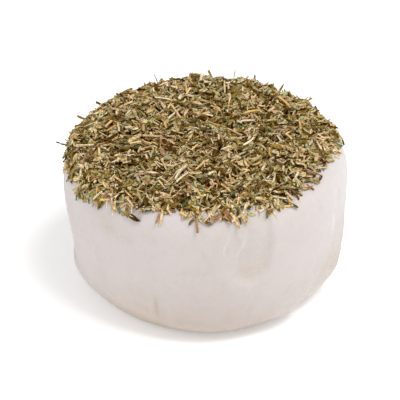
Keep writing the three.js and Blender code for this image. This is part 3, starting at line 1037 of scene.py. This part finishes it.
def place_flakes(drum, shapes, flakes):
    """The flakes' own points moved to where they lie on the cheese."""
    run, azimuth, lies = flakes.run, flakes.azimuth, flakes.proud == 0
    height, pitch, roll = flakes.rest.T
    pressed = PRESSED + PRESSED_RIGHT * np.maximum(np.sin(azimuth), 0)
    press = 1 - pressed * smooth(run, PRESS_FROM, PRESS_TO)
    hangs = lies * HANG_OUT * smooth(run / coat_edge(azimuth), HANG_FROM, 1)
    tilt = hangs * flakes.tone
    touch = np.minimum(tilt * SHOULDER_ROUND, flakes.size[:, 0] / 2)
    pitch = np.where(lies, pitch * press, pitch) + tilt
    roll = np.where(lies, roll * press, roll)
    height = height * press + tilt * touch - touch**2 / (2 * SHOULDER_ROUND)
    downhill, across, up = drum.axes(run, azimuth)
    c, s = np.cos(flakes.heading)[:, None], np.sin(flakes.heading)[:, None]
    ahead, aside = c * downhill + s * across, c * across - s * downhill
    a, b = np.arctan(pitch)[:, None], np.arctan(roll)[:, None]
    ahead, up = np.cos(a) * ahead + np.sin(a) * up, np.cos(a) * up - np.sin(a) * ahead
    aside, up = np.cos(b) * aside + np.sin(b) * up, np.cos(b) * up - np.sin(b) * aside
    frames = np.stack([ahead, aside, up], 1)
    return drum.point(run, azimuth, height)[:, None, :] + shapes @ frames


def join_flakes(name, points, faces, flakes, own_points, material):
    """One piece from all flakes of a kind, each with its own tone, painted shade for its depth in the coat,
    and coordinates.
    """
    count, corners, _ = points.shape
    joined = [[k + corners * i for k in face] for i in range(count) for face in faces]
    piece = make_object(name, points.reshape(-1, 3), joined, material, SHARP_FROM)
    # The second attribute is the painted shade of flakes deep in the coat
    for key, values in (("tone", flakes.tone), ("damp", flakes.damp())):
        made = piece.data.attributes.new(key, "FLOAT", "POINT")
        made.data.foreach_set("value", np.repeat(values, corners).astype(np.float32))
    own = piece.data.attributes.new("own", "FLOAT_VECTOR", "POINT")
    own.data.foreach_set("vector", own_points.astype(np.float32).ravel())
    return piece


# The finish of each kind of flake, and its shades from the first tone to the last
PALETTES = {
    "stems": ("straw_stem", "straw straw straw tan gold tan fawn khaki rust"),
    "leaves": ("faded_leaf", "straw khaki sage lime khaki sage olive olive dark mauve"),
    "needles": ("rolled_leaf", "straw khaki lime sage olive olive dark dark"),
    "greens": ("green_leaf", "mint mint green green dark"),
    "husks": ("flower_husk", "straw fawn fawn rust brown plum dark"),
    "crumbs": ("leaf_crumb", "straw straw fawn khaki gold sage olive rust dark"),
}


def herb_paints(herbs):
    """The finish of each kind of flake."""
    paints = {}
    for kind, (name, shades) in PALETTES.items():
        fibres, deep = (STEM_FIBRES, STEM_DEEP) if kind == "stems" else (LEAF_FIBRES, LEAF_DEEP)
        paints[kind] = herb_paint(name, [getattr(herbs, shade) for shade in shades.split()], fibres, deep)
    return paints


def fit(piece, node):
    """Puts a piece on the cheese's one body, in place of a CAD node."""
    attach(piece, "root")
    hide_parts(node)


# Operators


class CAMEMBERT_OT_rind(bpy.types.Operator):
    """Make the cheese with its white bloomy rind"""

    bl_idname = "camembert.rind"
    bl_label = "Make the rind"

    def execute(self, context):
        settings = context.scene.camembert.rind
        points, faces, tones = rind_mesh(Drum(), settings)
        piece = make_object("cheese_rind", points, faces, rind_paint(settings))
        for name, values in tones.items():
            values = np.concatenate([[0], values, [0]]).astype(np.float32)
            piece.data.attributes.new(name, "FLOAT", "POINT").data.foreach_set("value", values)
        fit(piece, "cheese")
        return {"FINISHED"}


class CAMEMBERT_OT_herb_bed(bpy.types.Operator):
    """Make the bed of fine fragments under the herb flakes"""

    bl_idname = "camembert.herb_bed"
    bl_label = "Lay the herb bed"

    def execute(self, context):
        herbs = context.scene.camembert.herbs
        points, faces = bed_mesh(Drum(), herbs)
        piece = make_object("herb_bed", points, faces, fines_and_gap_shade_paint(herbs))
        fit(piece, "herb_coat")
        return {"FINISHED"}


class CAMEMBERT_OT_herb_flakes(bpy.types.Operator):
    """Strew the dried herb flakes, one piece for each kind"""

    bl_idname = "camembert.herb_flakes"
    bl_label = "Strew the herbs"

    def execute(self, context):
        herbs = context.scene.camembert.herbs
        rng = np.random.default_rng(herbs.seed)
        drum, paints = Drum(), herb_paints(herbs)
        flakes = add_outliers(draw_flakes(rng, herbs))
        settle(flakes, herbs)
        for kind, (shape, _, _) in KINDS.items():
            chosen = flakes.of_kind(kind)
            shapes, faces = shape(rng, chosen.size)
            points = place_flakes(drum, shapes, chosen)
            own = shapes + rng.uniform(-1, 1, (len(shapes), 1, 3))
            piece = join_flakes(f"herb_{kind}", points, faces, chosen, own, paints[kind])
            fit(piece, "herb_coat")
        return {"FINISHED"}


class CAMEMBERT_OT_stage(bpy.types.Operator):
    """Set the floor, the soft lights and the camera"""

    bl_idname = "camembert.stage"
    bl_label = "Set the stage"

    def execute(self, context):
        settings = context.scene.camembert.stage
        middle = Vector((0, 0, (CAD_BOX[0].z + CAD_BOX[1].z) / 2))
        self.set_camera(context, settings, middle)
        self.lay_floor(settings)
        for name, (place, size) in LIGHTS.items():
            self.hang_light(context, name, getattr(settings, name), place, size, middle)
        self.light_sky(context, settings)
        context.scene.view_settings.view_transform = "Standard"
        return {"FINISHED"}

    def set_camera(self, context, settings, middle):
        camera = bpy.data.objects.new("camera", bpy.data.cameras.new("camera"))
        context.scene.collection.objects.link(camera)
        camera.data.lens = settings.lens
        camera.data.sensor_width = SENSOR
        back = Vector((0, -math.cos(settings.elevation), math.sin(settings.elevation)))
        camera.location = middle + Vector(AIM_PAST) + back * settings.distance
        camera.rotation_euler = (-back).to_track_quat("-Z", "Y").to_euler()
        context.scene.camera = camera

    def lay_floor(self, settings):
        half = FLOOR_HALF
        corners = [(-half, -half, 0), (half, -half, 0), (half, half, 0), (-half, half, 0)]
        make_object("floor", corners, [[0, 1, 2, 3]], floor_paint(settings))

    def hang_light(self, context, name, energy, place, size, target):
        lamp = bpy.data.lights.new(name, "AREA")
        lamp.energy, lamp.size = energy, size
        made = bpy.data.objects.new(name, lamp)
        made.location = place
        made.rotation_euler = (target - Vector(place)).to_track_quat("-Z", "Y").to_euler()
        context.scene.collection.objects.link(made)

    def light_sky(self, context, settings):
        world = bpy.data.worlds.new("even_sky")
        world.use_nodes = True
        background = world.node_tree.nodes["Background"]
        background.inputs["Color"].default_value = (1, 1, 1, 1)
        background.inputs["Strength"].default_value = settings.sky
        context.scene.world = world


class CAMEMBERT_PT_panel(bpy.types.Panel):
    """The pieces of the cheese and what can be changed on them"""

    bl_label = "Camembert"
    bl_space_type = "VIEW_3D"
    bl_region_type = "UI"
    bl_category = "Camembert"

    def draw(self, context):
        for operator in OPERATORS:
            self.layout.operator(operator.bl_idname)
        settings = context.scene.camembert
        for group in (settings.stage, settings.rind, settings.herbs):
            for name in group.bl_rna.properties.keys():
                if name not in ("rna_type", "name"):
                    self.layout.prop(group, name)


OPERATORS = (CAMEMBERT_OT_stage, CAMEMBERT_OT_rind, CAMEMBERT_OT_herb_bed, CAMEMBERT_OT_herb_flakes)
CLASSES = (RindSettings, HerbSettings, StageSettings, CamembertSettings, *OPERATORS, CAMEMBERT_PT_panel)


def register():
    for made in CLASSES:
        bpy.utils.register_class(made)
    bpy.types.Scene.camembert = PointerProperty(type=CamembertSettings)


def unregister():
    del bpy.types.Scene.camembert
    for made in reversed(CLASSES):
        bpy.utils.unregister_class(made)


def main():
    register()
    bpy.ops.camembert.stage()
    bpy.ops.camembert.rind()
    bpy.ops.camembert.herb_bed()
    bpy.ops.camembert.herb_flakes()


if __name__ == "__main__":
    main()
